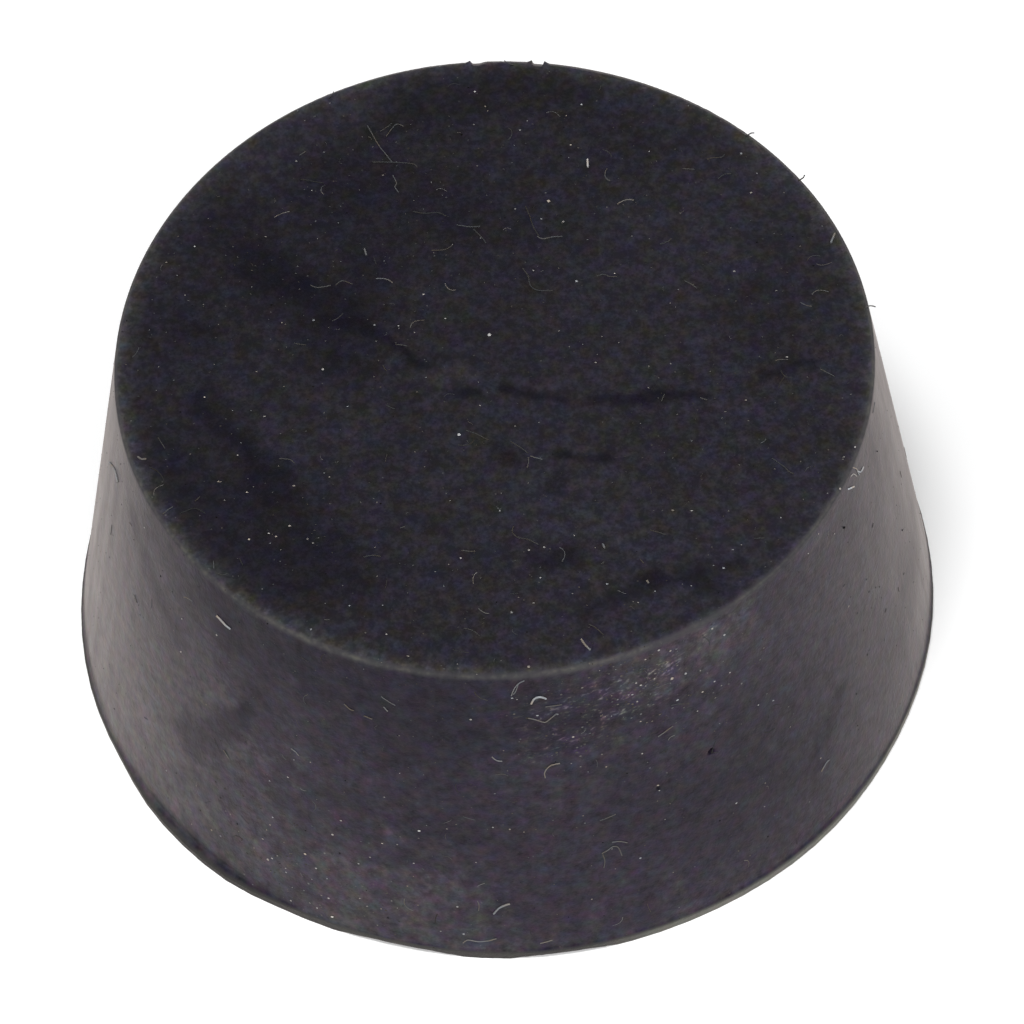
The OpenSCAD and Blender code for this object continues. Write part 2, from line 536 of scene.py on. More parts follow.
def softPatches(bench, point, marks):
    total = 0.0
    for middle, halves, strength in marks:
        off = bench.arrows("SUBTRACT", point, (*middle, 0))
        off = bench.arrows("DIVIDE", off, (*halves, 1))
        far = bench.node("ShaderNodeVectorMath", {"operation": "LENGTH"}, {0: off}, outlet=1)
        total = total + fade(bench, far, strength)
    return total


def softBands(bench, point, marks):  # each lies along a line from one point to another
    total = 0.0
    for start, end, half, strength in marks:
        run = Vector((end[0] - start[0], end[1] - start[1], 0))
        off = bench.arrows("SUBTRACT", point, (*start, 0))
        part = bench.node("ShaderNodeVectorMath", {"operation": "DOT_PRODUCT"},
                          {0: off, 1: run / run.length_squared}, outlet=1)
        part = bench.node("ShaderNodeClamp", {}, {"Value": part})
        far = bench.node("ShaderNodeVectorMath", {"operation": "DISTANCE"},
                         {0: off, 1: bench.scaled(run, part)}, outlet=1)
        total = total + fade(bench, far / half, strength)
    return total


class Skin:  # the rubber's surface: where a point is, and the blotches that run through everything
    def __init__(self, bench):
        self.bench = bench
        self.place = bench.node("ShaderNodeTexCoord", outlet="Object")
        self.row = bench.node("ShaderNodeAttribute", {"attribute_name": "row"}, outlet="Fac")
        self.x, self.y, self.z = (part / mm for part in bench.split(self.place))
        self.turn = turnFrom(self.y.maths("ARCTAN2", self.x), rad(270))
        self.fine = self.blotch(0.14)
        self.grain = self.blotch(0.38)
        self.middling = self.blotch(0.9)
        self.cloud = self.blotch(2.4, 2)
        self.broad = self.blotch(9)
        self.hues = self.stray(0.85, 1)
        self.warp = self.stray(2, 2)
        self.rubbed, self.worn = self.rubbedRim()

    def blotch(self, across, detail=1):  # about 0 on average, each blotch so many mm across
        return self.bench.noise(self.place, across * mm, detail) - 0.5

    def stray(self, across, detail):  # the same, in three ways at once
        loose = self.bench.noise(self.place, across * mm, detail, "Color")
        return self.bench.arrows("SUBTRACT", loose, (0.5, 0.5, 0.5))

    def tinted(self, colour, spread, shade):
        hue = self.bench.arrows("MULTIPLY_ADD", self.hues, spread, (1, 1, 1))
        hue = self.bench.arrows("MAXIMUM", hue, (0, 0, 0))
        return self.bench.scaled(self.bench.arrows("MULTIPLY", colour, hue), most(shade, 0))

    def coated(self, colour, rough, relief):
        normal = self.bench.node("ShaderNodeBump", {}, {"Distance": rubber["relief"], "Height": relief})
        return self.bench.node("ShaderNodeBsdfPrincipled", {}, {
            "Base Color": colour, "Roughness": rough, "IOR": rubber["index"],
            "Specular Tint": rubber["sheen"], "Normal": normal})

    def bent(self, across, up, far):  # a point on a flat layout, led astray by about half so far
        return self.bench.arrows("ADD", self.bench.vector(across, up, 0), self.bench.scaled(self.warp, far))

    def rubbedRim(self):  # how rubbed the corner is, less far in at the front right, and its colour
        inward = body["narrowRadius"] / mm - root(self.x * self.x + self.y * self.y)
        down = body["height"] / mm - self.z
        reach = rub["inward"] - rub["lessInward"] * hump((self.turn - rub["lessAt"]) / rub["lessSpan"])
        rubbed = (-(most(inward + self.grain * 0.1 - rub["from"], 0) / reach)).maths("EXPONENT")
        rubbed = rubbed * hump(most(down - rub["straight"], 0) / rub["downward"])
        rubbed = rubbed * self.bench.share(self.cloud * 0.7 + self.grain * 0.6, -1, 0.15)
        broken = self.bench.share(self.grain + self.cloud * 0.8, -0.08, 0.3)
        crest = hump((inward - rub["from"]) / rub["crestHalf"]) * broken
        return rubbed, self.bench.mix(crest, rubber["worn"], rubber["crest"])

    def scuffed(self, flat):  # short scratches, in a few patches
        across = self.turn * wallRadius
        scratch = self.bench.noise(self.bench.vector(across * 0.5, self.z - across * 0.2, 0), 0.22, 2)
        scratched = self.bench.share(scratch + self.middling * 0.35 + self.grain * 0.2, 0.56, 0.84)
        return least(softPatches(self.bench, flat, wallPatches(scuffs)) * scratched, 1)

    def cutLip(self):  # where the lip is cut, and its colour, paler low down on the right
        onCut = self.bench.share(self.row, firstRow["lip"] - 0.5, firstRow["lip"]) * self.bench.share(
            self.row, firstRow["hollow"] + 3, firstRow["hollow"])
        pale = (self.bench.step(self.turn, rad(6), rad(22)) * self.bench.step(self.turn, rad(80), rad(70))
                * self.bench.step(self.z, 0.7, 0.35))
        return onCut, self.bench.mix(pale, rubber["cut"], rubber["paleCut"])

    def wall(self):  # bloom with painted reflection in it, smears through it, scuffs, and the cut lip below
        bench, fine, grain, middling = self.bench, self.fine, self.grain, self.middling
        across = self.turn * wallRadius
        drawn = bench.noise(bench.vector(across, self.z * 0.12, 0), 1.1, 2) - 0.5  # up the wall
        flat = self.bent(across, self.z, 3.0)
        # painted reflection is in this mask as well: lighter on the left and towards the foot, darker high
        # up at the front left
        bloomAndReflection = (self.broad * 0.7 + self.cloud * 0.8 + drawn * 0.5 + 0.2 * bench.share(self.z, 2.4, 1.2)
                 + softPatches(bench, flat, wallPatches(bloomAndReflectionPatches))
                 + softBands(bench, flat, wallBands(smears)))
        handledAndDimReflection = bench.share(bloomAndReflection, 0, -0.8)
        wall = bench.mix(handledAndDimReflection, rubber["wall"], rubber["handledAndDimReflection"])
        wall = bench.mix(bench.share(bloomAndReflection, 0, 1.1), wall, rubber["paleBloomAndReflection"])
        wall = bench.mix(self.scuffed(flat), wall, rubber["scuffed"])
        onCut, cut = self.cutLip()
        wall = bench.mix(onCut, bench.mix(self.rubbed, wall, self.worn), cut)
        dull = most(onCut, self.rubbed)
        plain = (1 - bench.share(dull, 0, 0.5) * 0.85) * (1 - bench.share(bloomAndReflection, 0, 1.5) * 0.5)
        wall = self.tinted(wall, plain * 1.15, 1 + (fine * 0.8 + grain * 1.4 + middling * 1.5) * plain)
        rough = (rubber["wallRoughness"] + (rubber["dullRoughness"] - rubber["wallRoughness"]) * dull
                 + handledAndDimReflection * 0.15 + self.cloud * 0.1 + drawn * 0.2)
        relief = fine * 0.35 + grain * 0.4 + middling * 0.2 + (grain + fine) * onCut
        return self.coated(wall, rough, relief)

    def end(self):  # smudges, and paler towards the front right
        bench, fine, grain, middling = self.bench, self.fine, self.grain, self.middling
        flat = self.bent(self.x, self.y, 1.7)
        patchy = bench.share(self.cloud + grain * 0.7, -0.3, 0.15)
        smudge = bench.share(softBands(bench, flat, smudges), 0.05, 0.8) * (0.55 + 0.4 * patchy)
        tone = (1 + (self.x * 0.6 - self.y * 0.8) * 0.008 + self.broad * 0.3 + self.cloud * 0.3
                + softBands(bench, flat, haze) * 0.5)
        end = bench.scaled(bench.mix(smudge, rubber["end"], rubber["smudged"]), tone)
        end = bench.mix(self.rubbed, end, self.worn)
        end = self.tinted(end, (0.5, 0.5, 1.25), most(1 + fine + grain * 1.15 + middling * 0.85, 0.78))
        rough = (rubber["endRoughness"] + (rubber["dullRoughness"] - rubber["endRoughness"]) * self.rubbed
                 + self.cloud * 0.12)
        return self.coated(end, rough, fine * 0.4 + grain * 0.6)


def blackRubber():
    material, bench = newFinish("blackRubber")
    skin = Skin(bench)
    onEnd = bench.share(skin.row, firstRow["brink"] - 3, firstRow["brink"])
    whole = bench.node("ShaderNodeMixShader", {}, {"Fac": onEnd, 1: skin.wall(), 2: skin.end()})
    bench.node("ShaderNodeOutputMaterial", {}, {"Surface": whole})
    return material


def paleFluff():  # lint and dust, by their own paleness
    material, bench = newFinish("paleFluff")
    place = bench.node("ShaderNodeTexCoord", outlet="Object")
    pale = bench.node("ShaderNodeAttribute", {"attribute_name": "pale"}, outlet="Fac")
    hue = bench.node("ShaderNodeValToRGB", {"stops": [
        (0.38, (0.90, 0.94, 1.0, 1)), (0.5, (1.0, 0.97, 0.95, 1)), (0.68, (1.0, 0.86, 0.72, 1))]},
        {"Fac": bench.noise(place, 0.8 * mm, 1)})
    shader = bench.node("ShaderNodeBsdfPrincipled", {}, {
        "Base Color": bench.scaled(hue, pale), "Roughness": 0.9, "Specular IOR Level": 0.1})
    bench.node("ShaderNodeOutputMaterial", {}, {"Surface": shader})
    return material


# hairs by their width in mm: paleness, then the places along it in mm, x and y on the narrow end
endHairs = {
    0.07: [
        (0.08, [(-6.9, 17.8), (-6.5, 16.8), (-6.2, 16.1), (-5.9, 15.6), (-5.5, 14.9)]),  # the long bent one
        (0.05, [(-6.7, 15.0), (-5.5, 14.9), (-4.3, 14.7), (-4.0, 14.4)]),
        (0.09, [(-5.5, 13.9), (-5.3, 13.3), (-5.4, 13.0), (-5.2, 12.6)]),
        (0.04, [(-4.4, 11.1), (-3.7, 10.9), (-2.9, 10.9), (-2.4, 10.6)]),
        (0.07, [(-1.8, 9.9), (-1.0, 9.7), (-0.4, 9.7)]), (0.05, [(-0.8, 9.5), (-0.3, 8.8), (-0.1, 8.4)]),
        (0.07, [(-5.8, 16.9), (-5.4, 17.5), (-5.1, 17.8), (-4.7, 17.6)]),
        (0.09, [(3.0, 8.7), (3.3, 8.5), (3.9, 8.6), (4.5, 8.6)]),
        (0.06, [(6.4, 5.5), (6.8, 5.6), (7.2, 5.4), (7.6, 5.4)]),
        (0.05, [(2.0, 6.4), (2.3, 5.8), (2.4, 5.1), (2.8, 4.7), (3.7, 4.6)]),
        (0.04, [(2.4, 11.0), (2.6, 10.3), (2.8, 9.4), (3.1, 8.7)]),
        (0.06, [(-3.4, 8.1), (-2.6, 8.1), (-2.1, 8.4)]),
        (0.07, [(-10.7, 6.0), (-10.3, 5.8), (-9.5, 5.9)]),
        (0.06, [(-9.2, 5.9), (-8.8, 6.2), (-8.2, 5.9)]),
        (0.03, [(-11.1, 14.0), (-10.4, 13.8), (-9.7, 13.6)]), (0.07, [(-11.1, 15.8), (-10.7, 16.1)]),
        (0.07, [(11.6, 4.8), (12.0, 4.5), (12.3, 4.2)]), (0.07, [(12.7, 13.1), (12.0, 13.2)]),
        (0.05, [(13.5, 13.8), (13.9, 13.9), (14.4, 13.9), (14.6, 14.1)]),
        (0.05, [(14.1, 12.3), (14.5, 12.6), (14.9, 12.6)]),
        (0.05, [(10.3, 7.6), (10.8, 7.8), (11.0, 8.0)]),
        (0.05, [(-1.9, -5.2), (-1.3, -5.5), (-1.0, -5.7), (-0.6, -6.0)]),
        (0.05, [(0.7, -6.2), (1.2, -6.6), (1.7, -7.1)]), (0.10, [(1.8, -7.3), (2.0, -7.4), (2.5, -7.6)]),
        (0.06, [(-5.8, 1.3), (-5.3, 1.2), (-5.1, 1.1)]), (0.05, [(-6.6, -0.2), (-6.4, -0.6)]),
        (0.05, [(-6.5, -3.1), (-6.0, -3.4)]), (0.05, [(-11.8, 1.8), (-11.5, 1.7), (-11.1, 1.6)]),
        (0.06, [(-12.9, -6.5), (-12.3, -6.6), (-12.0, -6.9)]),
        (0.05, [(-20.0, -4.5), (-19.8, -4.9), (-19.6, -5.3)]),
        (0.07, [(-19.8, -10.0), (-19.5, -9.7), (-19.2, -9.5)]),
        (0.03, [(-18.8, -10.0), (-18.3, -9.8), (-17.9, -9.7), (-17.3, -10.1)]),
        (0.03, [(-20.5, -6.6), (-20.0, -7.0), (-19.7, -7.6), (-20.0, -8.0)]),
        (0.05, [(-17.9, -9.2), (-17.6, -8.9)]), (0.09, [(-16.9, -13.5), (-16.9, -14.0)]),
        (0.05, [(-16.8, -14.3), (-16.4, -14.5), (-16.1, -14.4)]),
        (0.03, [(-15.4, -13.4), (-15.2, -13.9)]), (0.05, [(-8.2, -13.8), (-7.7, -13.7), (-7.2, -13.8)]),
        (0.05, [(0.6, -12.2), (0.5, -12.6), (0.8, -13.0), (1.4, -13.2), (2.0, -13.6)]),
        (0.09, [(-1.7, -17.8), (-1.4, -18.1), (-1.1, -18.2)]),
        (0.05, [(-2.6, -19.1), (-2.1, -19.3), (-1.7, -19.7)]),
        (0.05, [(4.6, -19.3), (5.0, -19.6), (5.4, -20.1)]),
        (0.07, [(-2.5, -13.7), (-2.0, -13.8), (-1.7, -13.8)]), (0.07, [(-6.0, -11.9), (-5.7, -11.8)]),
        (0.07, [(-10.6, -18.0), (-10.3, -18.0)]), (0.07, [(19.2, -2.2), (19.6, -2.5), (20.0, -2.8)]),
        (0.07, [(12.0, -3.8), (12.4, -4.0)]), (0.06, [(9.9, -3.4), (9.7, -3.9)]),
        (0.05, [(15.9, -8.4), (16.6, -9.1), (16.8, -9.4), (17.1, -9.6)]),
        (0.05, [(14.5, -14.0), (15.1, -14.0)]), (0.05, [(8.5, -13.0), (9.0, -13.2), (9.4, -13.4)]),
        (0.06, [(7.8, -15.0), (8.0, -15.3)]),
    ],
    0.13: [
        (0.45, [(6.3, 14.3), (6.3, 13.7)]),
    ],
    0.12: [
        (0.13, [(-7.4, 8.5), (-7.3, 8.0)]), (0.19, [(20.5, 7.0), (20.8, 7.7)]),
        (0.21, [(4.1, -20.3), (4.3, -20.7), (4.6, -21.1)]), (0.15, [(5.7, -13.8), (5.8, -14.1)]),
        (0.17, [(8.1, -16.5), (8.2, -16.7)]), (0.13, [(-21.2, -5.8), (-21.0, -6.0), (-20.7, -6.0)]),
    ],
    0.08: [
        (0.04, [(16.0, 15.4), (16.3, 15.6), (16.5, 15.6)]),  # three that stand out past the rim
        (0.04, [(18.9, 11.8), (19.2, 12.0), (19.3, 12.2)]),
        (0.09, [(22.2, 2.1), (22.5, 2.2), (22.8, 2.1)]),
    ],
}
# the same on the wall: angle in degrees and height in mm
wallHairs = {
    0.075: [
        (0.17, [(269.8, 23.3), (270.3, 23.9), (271.0, 24.3), (271.8, 24.5)]),
        (0.15, [(270.9, 24.3), (270.5, 23.7), (270.1, 23.4)]),
        (0.15, [(272.0, 21.3), (273.1, 21.1), (274.3, 20.8), (275.1, 21.0), (276.1, 21.4)]),
        (0.19, [(273.9, 16.0), (273.9, 16.5), (274.7, 17.0), (276.1, 17.1)]),
        (0.19, [(266.6, 18.1), (267.2, 17.8), (268.0, 17.7)]),
        (0.11, [(280.9, 8.5), (281.8, 8.7), (282.5, 8.9), (283.2, 8.7), (283.6, 7.9)]),  # a small tangle
        (0.10, [(281.0, 8.4), (281.2, 7.8), (281.0, 7.2)]),
        (0.12, [(282.4, 9.3), (283.5, 9.2), (284.5, 8.9)]),
        (0.17, [(261.7, 1.3), (262.4, 1.6), (263.7, 1.5), (265.0, 1.6), (266.1, 1.8)]),
        (0.17, [(271.8, 1.2), (272.6, 1.3), (273.4, 1.4)]), (0.17, [(251.1, 21.4), (251.7, 21.1)]),
        (0.15, [(236.9, 14.9), (237.7, 14.8), (238.2, 14.6)]), (0.12, [(225.5, 11.1), (226.5, 10.7)]),
        (0.10, [(245.1, 20.7), (246.0, 20.4), (246.6, 20.4)]), (0.10, [(248.1, 20.2), (249.4, 20.1)]),
        (0.10, [(274.6, 22.1), (275.9, 22.1), (277.0, 22.1)]),
        (0.12, [(290.5, 17.2), (291.7, 17.4), (292.9, 17.6)]),
        (0.17, [(315.5, 5.5), (316.6, 5.8), (317.3, 5.8)]), (0.15, [(202.4, 15.5), (203.5, 15.3)]),
    ],
    0.12: [
        (0.34, [(272.6, 22.5), (273.1, 22.9), (273.9, 23.0), (274.8, 22.8)]),  # the bright crescent
        (0.32, [(222.4, 22.3), (223.5, 22.2), (224.5, 22.1), (225.3, 22.1)]),
        (0.23, [(265.9, 4.1), (266.6, 4.6), (267.5, 4.9), (268.1, 5.0)]),
        (0.29, [(185.8, 19.7), (189.4, 20.9), (191.6, 20.9)]),
    ],
    0.1: [
        (0.6, [(333.3, 24.0), (335.0, 23.4)]),
    ],
    0.065: [
        (0.4, [(334.6, 24.5), (335.6, 24.3), (336.4, 23.7)]),  # a tuft caught under the rim
        (0.36, [(336.0, 24.7), (336.9, 24.1), (337.2, 23.4)]),
    ],
    0.08: [
        (0.5, [(337.0, 23.9), (338.0, 23.3), (339.1, 23.2)]),
    ],
}
# grains: paleness, width in mm, and place
endGrains = [
    (0.45, 0.24, (-0.2, 1.6)), (0.45, 0.24, (-2.3, -5.5)), (0.38, 0.23, (3.8, 11.3)),
    (0.17, 0.15, (3.3, 10.0)), (0.19, 0.17, (4.6, 9.7)), (0.19, 0.15, (-13.3, 9.8)),
    (0.16, 0.15, (-19.3, 8.3)), (0.17, 0.14, (-11.3, 15.4)), (0.22, 0.17, (15.6, 14.1)),
    (0.22, 0.17, (16.0, 11.1)), (0.22, 0.17, (14.6, 5.3)), (0.16, 0.14, (17.0, 3.7)),
    (0.23, 0.17, (-7.0, 2.8)), (0.22, 0.17, (-10.6, 3.4)), (0.23, 0.17, (-13.7, -3.4)),
    (0.22, 0.15, (-16.5, -7.9)), (0.27, 0.19, (-12.1, -8.5)), (0.17, 0.13, (-10.3, -7.7)),
    (0.17, 0.13, (-10.0, -8.0)), (0.17, 0.15, (-11.4, -12.3)), (0.17, 0.15, (-11.1, -12.6)),
    (0.23, 0.18, (2.3, -13.8)), (0.23, 0.17, (5.8, -16.6)), (0.20, 0.17, (0.2, -18.2)),
    (0.19, 0.15, (-11.4, -18.6)), (0.19, 0.15, (-5.9, -20.8)), (0.25, 0.18, (1.0, -22.0)),
    (0.27, 0.18, (17.3, -1.2)), (0.16, 0.15, (13.4, -4.9)), (0.19, 0.17, (9.9, -11.7)),
    (0.20, 0.14, (13.2, -14.7)), (0.19, 0.15, (20.1, -8.6)),
]
wallGrains = [
    (0.75, 0.24, (243.9, 1.2)), (0.48, 0.22, (256.1, 11.1)), (0.46, 0.19, (239.7, 6.0)),
    (0.34, 0.16, (244.9, 10.3)), (0.34, 0.14, (236.9, 3.5)), (0.34, 0.16, (261.1, 4.6)),
    (0.29, 0.13, (258.8, 2.2)), (0.29, 0.14, (248.8, 3.2)), (0.46, 0.17, (289.7, 13.05)),
    (0.34, 0.12, (289.8, 12.55)), (0.40, 0.16, (286.1, 7.2)), (0.29, 0.13, (279.0, 4.6)),
    (0.29, 0.13, (268.6, 11.7)), (0.29, 0.13, (266.3, 11.9)), (0.37, 0.16, (269.9, 23.1)),
    (0.32, 0.17, (263.8, 21.3)), (0.34, 0.18, (215.2, 19.2)), (0.43, 0.19, (215.6, 16.3)),
    (0.34, 0.14, (323.8, 24.2)), (0.29, 0.17, (268.2, 0.5)), (0.29, 0.17, (272.6, 0.5)),
    (0.4, 0.12, (327.4, 22.6)), (0.45, 0.15, (320.8, 23.7)),
    (0.004, 0.2, (330.1, 21.9)), (0.004, 0.16, (345.4, 21.4)), (0.004, 0.16, (348.0, 11.9)),  # black dirt
]
# heights between which the wall gives way to the end: for what faces up, and for what the wall gathers
overRim = (body["height"] - 0.1 * mm, body["height"] - 0.01 * mm)
underRim = (body["height"] - 0.1 * mm, body["height"] - 0.2 * mm)
overLip = (0.6 * mm, 0.7 * mm)  # no dust lies lower


def seatOnEnd(place, lift):
    x, y = place
    return Vector((x * mm, y * mm, body["height"] + lift * mm))


def seatOnWall(place, lift):
    angle, up = rad(place[0]), place[1] * mm
    slope = (body["wideRadius"] - body["narrowRadius"]) / body["height"]
    out = body["wideRadius"] - up * slope + lift * mm
    return Vector((out * math.cos(angle), out * math.sin(angle), up))


def marked(name, points, edges, pale, width):  # a bare mesh that carries paleness and width
    mesh = bpy.data.meshes.new(name)
    mesh.from_pydata(points, edges, [])
    for title, values in (("pale", pale), ("width", width)):
        mesh.attributes.new(title, "FLOAT", "POINT").data.foreach_set("value", values)
    return mesh


def hairTree(fluff):
    bench = Bench(bpy.data.node_groups.new("hairs", "GeometryNodeTree"))
    lines = bench.node("GeometryNodeMeshToCurve", {}, {"Mesh": bench.ownMesh()})
    bent = bench.node("GeometryNodeCurveSplineType", {"spline_type": "CATMULL_ROM"}, {"Curve": lines})
    fine = bench.node("GeometryNodeSetSplineResolution", {}, {"Geometry": bent, "Resolution": 5})
    ring = bench.node("GeometryNodeCurvePrimitiveCircle", {"mode": "RADIUS"},
                      {"Resolution": 5, "Radius": 0.5})
    tube = bench.node("GeometryNodeCurveToMesh", {}, {
        "Curve": fine, "Profile Curve": ring, "Scale": bench.attribute("width"), "Fill Caps": True})
    bench.deliver(tube, fluff)
    return bench.tree


def layHairs(fluff):
    points, edges, pale, width = [], [], [], []
    for hairs, seat in ((endHairs, seatOnEnd), (wallHairs, seatOnWall)):
        for thickness, alike in hairs.items():
            for paleness, places in alike:
                edges += [(len(points) + k, len(points) + k + 1) for k in range(len(places) - 1)]
                points += [seat(place, thickness * 0.3) for place in places]
                pale += [paleness] * len(places)
                width += [thickness * mm] * len(places)
    return finished("lint", hairTree(fluff), mesh=marked("lintLines", points, edges, pale, width))


def grainsAt(bench, points, width, pale, turned, seed):  # flattened grains on points
    flat = bench.vector(width, width * bench.chance(0.45, 1.0, seed), width * 0.35)
    ball = bench.node("GeometryNodeMeshIcoSphere", {}, {"Radius": 0.5, "Subdivisions": 1})
    return bench.node("GeometryNodeInstanceOnPoints", {}, {
        "Points": bench.keep(points, "pale", pale), "Instance": ball, "Rotation": turned, "Scale": flat})


def grainTree(fluff):
    bench = Bench(bpy.data.node_groups.new("grains", "GeometryNodeTree"))
    points = bench.node("GeometryNodeMeshToPoints", {}, {"Mesh": bench.ownMesh()})
    x, y, z = bench.split(bench.node("GeometryNodeInputPosition"))
    up = bench.share(z, *overRim)
    facing = bench.vector(x * (1 - up), y * (1 - up), up)
    turned = bench.node("FunctionNodeAlignRotationToVector", {"axis": "Z"}, {"Vector": facing})
    grains = grainsAt(bench, points, bench.attribute("width"), bench.attribute("pale"), turned, 3)
    bench.deliver(grains, fluff)
    return bench.tree


def layGrains(fluff):
    points, pale, width = [], [], []
    for grains, seat in ((endGrains, seatOnEnd), (wallGrains, seatOnWall)):
        for paleness, across, place in grains:
            points.append(seat(place, across * 0.15))
            pale.append(paleness)
            width.append(across * mm)
    return finished("grains", grainTree(fluff), mesh=marked("grainPoints", points, [], pale, width))


# where dust has gathered on the wall: angle, height in mm, half the turn, half the height, how much more
dustier = [
    (291, 22.3, 4, 1.0, 9), (284, 21.6, 10, 2.6, 4), (279, 17.6, 3, 1.0, 6), (300, 20.0, 8, 3.0, 2),
    (237, 4.5, 14, 3.2, 3), (331, 13.0, 3, 2.2, 8),
]

dust = {
    "specksPerSquareMm": 0.75,
    "dirtPerSquareMm": 0.06,
    "hairsPerSquareMm": 0.06,
    "seed": 11,
}
hairBends = (0.05, -0.12, 0.24, -0.38)  # how far each kind of short hair bows, in mm


def hairKinds(bench):
    ring = bench.node("GeometryNodeCurvePrimitiveCircle", {"mode": "RADIUS"},
                      {"Resolution": 3, "Radius": 0.028 * mm})
    kinds = []
    for bend in hairBends:
        arc = bench.node("GeometryNodeCurveQuadraticBezier", {}, {
            "Resolution": 5, "Start": (-0.4 * mm, 0, 0), "Middle": (0.1 * mm, bend * mm, 0),
            "End": (0.4 * mm, 0, 0)})
        hair = bench.node("GeometryNodeCurveToMesh", {}, {
            "Curve": arc, "Profile Curve": ring, "Fill Caps": True})
        kinds.append(bench.node("GeometryNodeGeometryToInstance", {}, {"Geometry": hair}))
    return bench.join(kinds)


def dustFall(bench):  # how much settles at a place, and how much more has gathered there
    x, y, z = bench.split(bench.node("GeometryNodeInputPosition"))
    turn = y.maths("ARCTAN2", x)
    onWall = bench.share(z, *underRim)
    cleaner = bench.step(cosine(turn).maths("ABSOLUTE"), 0.6, 0.9)  # the wall on the left and right
    exposed = bench.share(z, *overLip) * (1 - 0.75 * cleaner * onWall)
    gathered = 0.0
    for at, up, halfTurn, halfUp, more in dustier:
        gathered = gathered + more * hump(turnFrom(turn, rad(at)) / rad(halfTurn)) * hump(
            (z - up * mm) / (halfUp * mm))
    return exposed, gathered * onWall


def dustTree(fluff):
    bench = Bench(bpy.data.node_groups.new("dust", "GeometryNodeTree"))
    surface = bench.ownMesh()  # must be the first input
    amount = bench.inlets(dust)
    exposed, gathered = dustFall(bench)

    def strew(name, later, more=0.0):
        density = amount[name] * exposed * (1 + gathered * more) / (mm * mm)
        return bench.node("GeometryNodeDistributePointsOnFaces", {}, {
            "Mesh": surface, "Density": density, "Seed": amount["seed"] + later})

    scattered = strew("specksPerSquareMm", 0, 1.0)
    luck = most(bench.chance(0, 1, 21), 0.008)
    thick = least(gathered, 1)
    width = 0.07 + (0.05 + 0.07 * thick) * bench.chance(0, 1, 22) + 0.05 * hump((luck - 0.008) / 0.02)
    pale = least(0.03 / luck ** 0.7 * (1 + thick * 0.6), 0.36)
    specks = grainsAt(bench, scattered, width * mm, pale, scattered.out("Rotation"), 23)

    dropped = strew("dirtPerSquareMm", 1)
    across = (0.06 + 0.1 * bench.chance(0, 1, 24) ** 3) * mm
    dirt = grainsAt(bench, dropped, across, 0.006, dropped.out("Rotation"), 25)

    strewn = strew("hairsPerSquareMm", 2, 0.25)
    spun = bench.node("FunctionNodeRotateRotation", {"rotation_space": "LOCAL"}, {
        "Rotation": strewn.out("Rotation"),
        "Rotate By": bench.node("FunctionNodeAxisAngleToRotation", {}, {
            "Axis": (0, 0, 1), "Angle": bench.chance(0, math.tau, 31)})})
    length = 0.3 + 1.1 * bench.chance(0, 1, 32) ** 2
    kind = bench.node("FunctionNodeRandomValue", {"data_type": "INT"},
                      {4: 0, 5: len(hairBends) - 1, "Seed": 33}, outlet=2)
    hairs = bench.node("GeometryNodeInstanceOnPoints", {}, {
        "Points": bench.keep(strewn, "pale", 0.04 + 0.12 * bench.chance(0, 1, 34) ** 2),
        "Instance": hairKinds(bench), "Pick Instance": True, "Instance Index": kind,
        "Rotation": spun, "Scale": bench.vector(length, length, 1)})
    bench.deliver(bench.join((specks, dirt, hairs)), fluff)
    return bench.tree


floor = {
    "halfWidth": 1.5,
    "lift": 0.22,
    "shadeAt": rad(24),
    "shadeSpan": rad(36),
    "shadeFade": (0.042, 0.027),
    "whiteFrom": (0.05, 0.2),
    "under": 0.02 * mm,
    "paper": (0.9, 0.9, 0.9, 1),
    "mirrored": (1.16, 1.06, 1.0, 1),
}


def paleFloor():
    material, bench = newFinish("paleFloor")
    x, y, _ = bench.split(bench.node("ShaderNodeTexCoord", outlet="Object"))
    out = root(x * x + y * y)
    ray = bench.node("ShaderNodeLightPath")
    mirrored = least(ray.out("Is Glossy Ray") + ray.out("Is Transmission Ray"), 1)
    paper = bench.node("ShaderNodeBsdfDiffuse", {}, {"Color": floor["paper"]})
    # as pale as the paper is lit, and a camera-only lift on top, which is held back close by the foot on
    # the right to paint a shadow there
    off = turnFrom(y.maths("ARCTAN2", x), floor["shadeAt"]) / floor["shadeSpan"]
    shade = hump(off) * bench.step(out, *floor["shadeFade"])
    lift = bench.node("ShaderNodeEmission", {}, {
        "Color": (1, 1, 1, 1), "Strength": ray.out("Is Camera Ray") * floor["lift"] * (1 - shade)})
    near = bench.node("ShaderNodeAddShader", {}, {0: paper, 1: lift})
    tint = bench.mix(mirrored, (1, 1, 1, 1), floor["mirrored"])
    glow = bench.node("ShaderNodeEmission", {}, {"Color": tint, "Strength": 1.0})
    whole = most(mirrored, ray.out("Is Camera Ray") * bench.step(out, *floor["whiteFrom"]))
    lit = bench.node("ShaderNodeMixShader", {}, {"Fac": whole, 1: near, 2: glow})
    bench.node("ShaderNodeOutputMaterial", {}, {"Surface": lit})
    return material


def layFloor():
    half = floor["halfWidth"]
    mesh = bpy.data.meshes.new("floor")
    corners = [(-half, -half, 0), (half, -half, 0), (half, half, 0), (-half, half, 0)]
    mesh.from_pydata(corners, [], [(0, 1, 2, 3)])
    mesh.materials.append(paleFloor())
    piece = bpy.data.objects.new("floor", mesh)
    piece.location.z = -floor["under"]
    bpy.context.scene.collection.objects.link(piece)


camera = {
    "distance": 401.7 * mm,
    "elevation": 56.3,
    "pitch": 0.698,
    "yaw": -0.084,
    "roll": -3.165,
    "lens": 226.2,
}


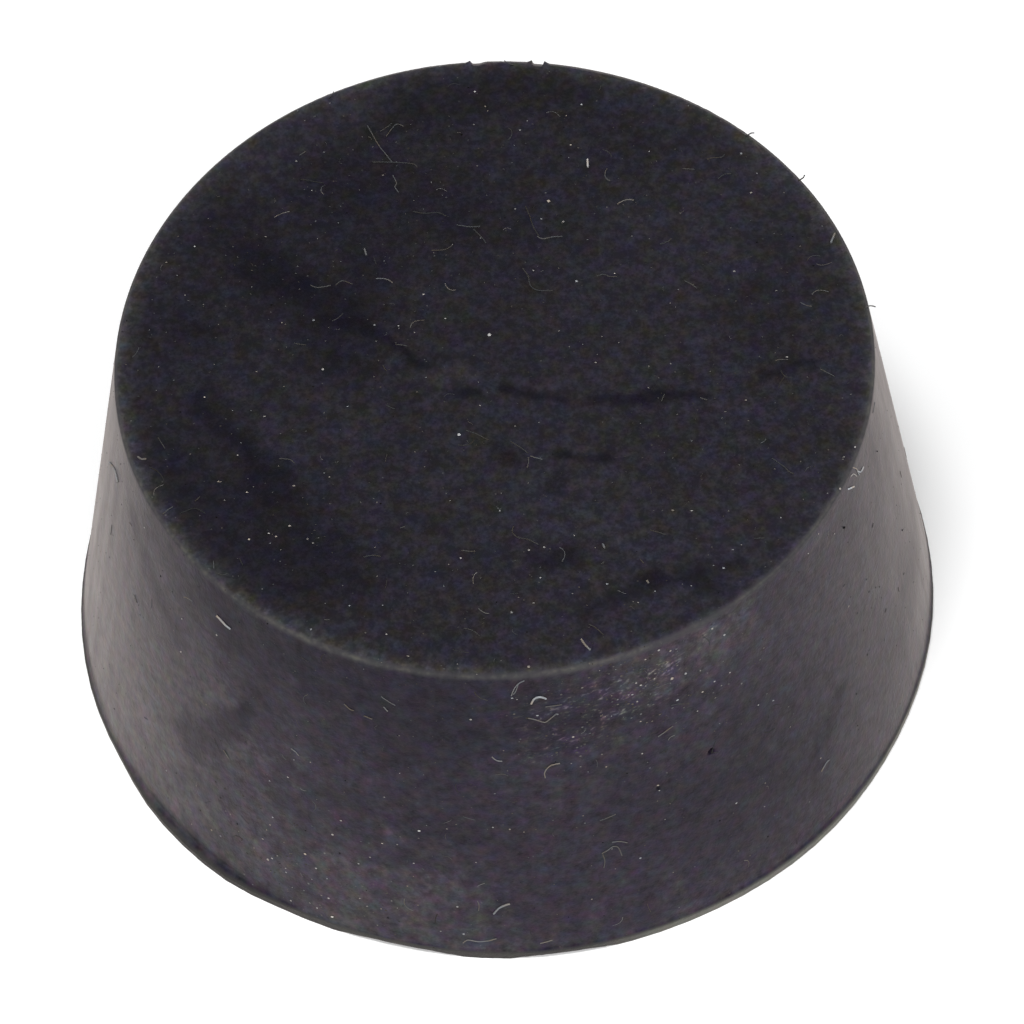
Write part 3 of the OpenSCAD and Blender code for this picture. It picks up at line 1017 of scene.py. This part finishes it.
def setCamera():
    lens = bpy.data.cameras.new("camera")
    lens.sensor_width = 36
    lens.lens = camera["lens"]
    lens.clip_start = 0.01
    eye = bpy.data.objects.new("camera", lens)
    bpy.context.scene.collection.objects.link(eye)
    up = rad(camera["elevation"])
    place = Matrix.Translation((0, -camera["distance"] * math.cos(up), camera["distance"] * math.sin(up)))
    tip = Matrix.Rotation(rad(90 - camera["elevation"] + camera["pitch"]), 4, "X")
    swing = Matrix.Rotation(rad(camera["yaw"]), 4, "Y")
    roll = Matrix.Rotation(rad(camera["roll"]), 4, "Z")
    eye.matrix_world = place @ tip @ swing @ roll
    bpy.context.scene.camera = eye


light = {
    "overhead": {"watts": 7.0, "across": 0.3, "from": (220, 81), "distance": 1.0},
    "front": {"watts": 4.0, "across": 0.8, "from": (-70, 45), "distance": 1.0},
    "skyHigh": 0.12,
    "skyLow": 0.65,
}


def hangLamp(name):
    sizes = light[name]
    lamp = bpy.data.lights.new(name, "AREA")
    lamp.shape = "DISK"
    lamp.size = sizes["across"]
    lamp.energy = sizes["watts"]
    held = bpy.data.objects.new(name, lamp)
    held.visible_glossy = False
    bpy.context.scene.collection.objects.link(held)
    azimuth, up = (rad(angle) for angle in sizes["from"])
    away = Matrix.Rotation(azimuth, 4, "Z") @ Matrix.Rotation(math.pi / 2 - up, 4, "Y")
    held.matrix_world = away @ Matrix.Translation((0, 0, sizes["distance"]))


def setWorld():
    world = bpy.data.worlds.new("room")
    bpy.context.scene.world = world
    world.use_nodes = True
    world.node_tree.nodes.clear()
    bench = Bench(world.node_tree)
    _, _, up = bench.split(bench.node("ShaderNodeTexCoord", outlet="Generated"))
    ray = bench.node("ShaderNodeLightPath")
    sky = light["skyHigh"] + (light["skyLow"] - light["skyHigh"]) * bench.step(up, 0.6, 0)
    strength = most(sky, ray.out("Is Camera Ray"))
    air = bench.node("ShaderNodeBackground", {}, {"Color": (1, 1, 1, 1), "Strength": strength})
    bench.node("ShaderNodeOutputWorld", {}, {"Surface": air})


bpy.context.scene.view_settings.view_transform = "Standard"
setCamera()
hangLamp("overhead")
hangLamp("front")
setWorld()
layFloor()
print("camera, light and floor are set")

stopper = finished("stopper_body", stopperTree(blackRubber()), body)
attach(stopper, "root")
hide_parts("stopper")
print("stopper made,", len(stopper.data.polygons), "faces")

fluff = paleFluff()
loose = finished("dust", dustTree(fluff), dust, stopper.data.copy())
for piece in (loose, layHairs(fluff), layGrains(fluff)):
    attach(piece, "root")
    print(piece.name, "laid,", len(piece.data.polygons), "faces")
